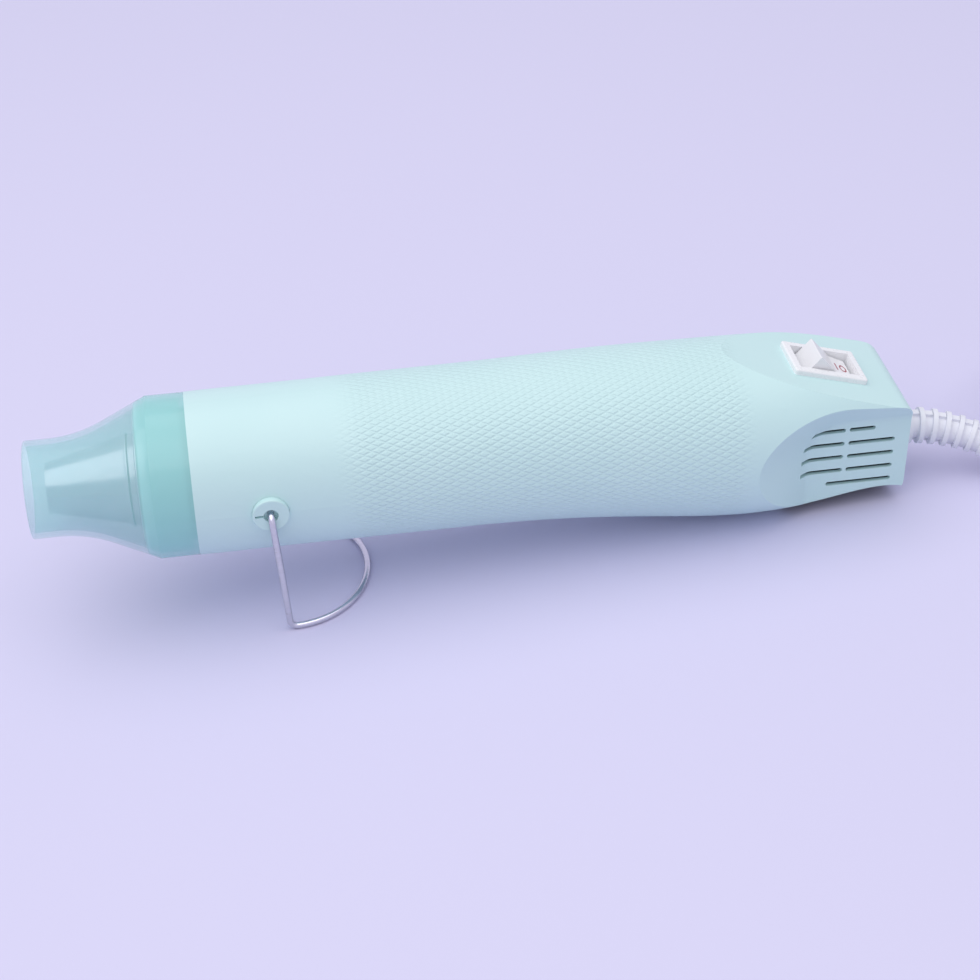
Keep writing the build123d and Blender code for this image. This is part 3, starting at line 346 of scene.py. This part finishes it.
def marked_white():
    """The rocker's white plastic, with a bar and a ring on its rear half."""
    shader = Shader("rocker_white")
    skin = shader.mottled(shader.noise(NOISE["mould_cloud"], 3.0))
    along, across, height = shader.place_from(FACET_MIDDLE, FACET_TILT)
    bar_along = shader.math("SUBTRACT", along, BAR_ALONG)
    bar_along = shader.math("DIVIDE", bar_along, BAR_HALF_THICKNESS)
    mark_across = shader.math("DIVIDE", across, MARK_HALF_WIDTH)
    bar_sides = shader.math("ABSOLUTE", bar_along), shader.math("ABSOLUTE", mark_across)
    bar = shader.math("MAXIMUM", *bar_sides)
    ring_along = shader.math("SUBTRACT", along, RING_ALONG)
    ring_along = shader.math("DIVIDE", ring_along, RING_HALF_LENGTH)
    squares = shader.math("POWER", ring_along, 2.0), shader.math("POWER", mark_across, 2.0)
    around = shader.math("SQRT", shader.math("ADD", *squares))
    off_line = shader.math("ABSOLUTE", shader.math("SUBTRACT", around, RING_MIDDLE))
    ring = shader.math("DIVIDE", off_line, RING_HALF_LINE)
    inked = shader.ease(shader.math("MINIMUM", bar, ring), MARK_OUTSIDE, MARK_INSIDE)
    upper = shader.ease(height, MARK_LOWEST, MARK_LOWEST + MARK_FADE)
    base = shader.mix(shader.math("MULTIPLY", inked, upper), skin, colour(*MARK_TONE))
    gloss = shader.gloss(shader.noise(NOISE["mould_gloss"]))
    return shader.finish(Base_Color=base, Roughness=gloss)


def guard_plastic():
    """Translucent guard: pale where it is thin, with a polished skin."""
    shader = Shader("guard_translucent")
    cloud = shader.noise(NOISE["guard_cloud"], 2.0)
    flare = shader.mottled(cloud)
    along = shader.place_from(RING, TILT)[0]
    collar = shader.ease(along, -COLLAR_LENGTH - COLLAR_FADE, -COLLAR_LENGTH)
    base = shader.mix(collar, flare, colour(*COLLAR_TONE))
    gloss = shader.gloss(shader.noise(NOISE["guard_gloss"]))
    alpha = shader.spread(collar, FLARE_ALPHA, COLLAR_ALPHA)
    return shader.finish(Base_Color=base, Roughness=gloss, Alpha=alpha, IOR=GUARD_IOR)


def vinyl(name):
    """Soft vinyl with a faint mottle."""
    shader = Shader(name)
    base = shader.mottled(shader.noise(NOISE["vinyl_cloud"], 3.0))
    gloss = shader.gloss(shader.noise(NOISE["vinyl_gloss"]))
    normal = shader.bump(shader.noise(NOISE["vinyl_grain"], 2.0), VINYL_GRAIN)
    return shader.finish(Base_Color=base, Roughness=gloss, Normal=normal)


def mica():
    """Layered mica: brown and silver flakes."""
    shader = Shader("mica_sheet")
    flakes = shader.noise(NOISE["mica_flakes"], 4.0, 0.7)
    return shader.finish(Base_Color=shader.mottled(flakes), Roughness=shader.gloss(flakes))


def dress(material, *nodes):
    """Give CAD nodes their material."""
    for name in nodes:
        mesh = bpy.data.objects[name].data
        mesh.materials.clear()
        mesh.materials.append(material)


def add_materials(cord):
    """Every node's material, and the cord's."""
    zinc, black, sheath = metal("zinc_plate"), moulded("inner_black"), vinyl("cord_white")
    dress(body_plastic(), "near_shell", "far_shell", "stand_bush_near", "stand_bush_far")
    dress(guard_plastic(), "nozzle_guard")
    dress(metal("turned_steel", TURNED_LINES), "steel_nozzle")
    dress(metal("drawn_wire"), "stand_wire")
    dress(zinc, "housing_screws", "mount_screws", "clamp_screws", "motor", "motor_shaft")
    dress(zinc, "front_tube_ring", "rear_tube_ring", "thermal_cutout")
    dress(metal("brass_strip"), "heater_terminals", "switch_terminals")
    dress(metal("nickel_pins"), "plug_pins")
    dress(metal("heater_wire"), "heater_winding")
    dress(mica(), "mica_sleeve", "heater_former", "heater_base")
    dress(moulded("switch_white"), "switch_bezel")
    dress(marked_white(), "switch_rocker")
    dress(black, "fan_shroud", "impeller", "motor_mount", "cord_clamp", "rectifier_diodes")
    dress(moulded("board_green"), "rectifier_board")
    dress(sheath, "strain_relief", "inner_cord", "cord_tie", "plug_body")
    dress(vinyl("lead_brown"), "lead_live")
    dress(vinyl("lead_blue"), "lead_heater", "lead_return")
    cord.data.materials.append(sheath)


def add_floor():
    """A plain pale floor that keeps the object's shadow."""
    shader = Shader("pale_floor")
    base = shader.mottled(shader.noise(NOISE["floor_cloud"], 2.0))
    shader.finish(Base_Color=base, Roughness=shader.roughness[0], Specular_IOR_Level=FLOOR_SPECULAR)
    left, right, near, far = FLOOR
    mesh = bpy.data.meshes.new("floor")
    corners = [(left, near, 0), (right, near, 0), (right, far, 0), (left, far, 0)]
    mesh.from_pydata(corners, [], [(0, 1, 2, 3)])
    mesh.materials.append(shader.material)
    floor = bpy.data.objects.new("floor", mesh)
    bpy.context.scene.collection.objects.link(floor)


def add_lamp(name, place, aim, size, power):
    """A soft square lamp aimed at a point."""
    lamp = bpy.data.lights.new(name, "AREA")
    lamp.shape = "SQUARE"
    lamp.size = size
    lamp.energy = power
    made = bpy.data.objects.new(name, lamp)
    made.location = place
    made.rotation_euler = (Vector(aim) - Vector(place)).to_track_quat("-Z", "Y").to_euler()
    bpy.context.scene.collection.objects.link(made)


def add_light():
    """Plain soft studio light from above and behind, and a pale world."""
    for lamp in LAMPS:
        add_lamp(*lamp)
    world = bpy.data.worlds.new("studio")
    bpy.context.scene.world = world
    world.use_nodes = True
    nodes, links = world.node_tree.nodes, world.node_tree.links
    rays = nodes.new("ShaderNodeLightPath")
    seen = nodes.new("ShaderNodeBackground")
    seen.inputs["Color"].default_value = colour(*WORLD_SEEN)
    lit = nodes["Background"]
    lit.inputs["Color"].default_value = colour(*WORLD_LIT)
    lit.inputs["Strength"].default_value = WORLD_STRENGTH
    both = nodes.new("ShaderNodeMixShader")
    glossy = nodes.new("ShaderNodeMath")
    glossy.operation = "MAXIMUM"
    links.new(rays.outputs["Is Camera Ray"], glossy.inputs[0])
    links.new(rays.outputs["Is Glossy Ray"], glossy.inputs[1])
    clear = nodes.new("ShaderNodeMath")
    clear.operation = "MAXIMUM"
    links.new(glossy.outputs[0], clear.inputs[0])
    links.new(rays.outputs["Is Transmission Ray"], clear.inputs[1])
    links.new(clear.outputs[0], both.inputs[0])
    links.new(lit.outputs[0], both.inputs[1])
    links.new(seen.outputs[0], both.inputs[2])
    links.new(both.outputs[0], nodes["World Output"].inputs["Surface"])


add_camera()
cord = add_cord()
add_materials(cord)
add_floor()
add_light()
bpy.context.scene.view_settings.view_transform = "Standard"
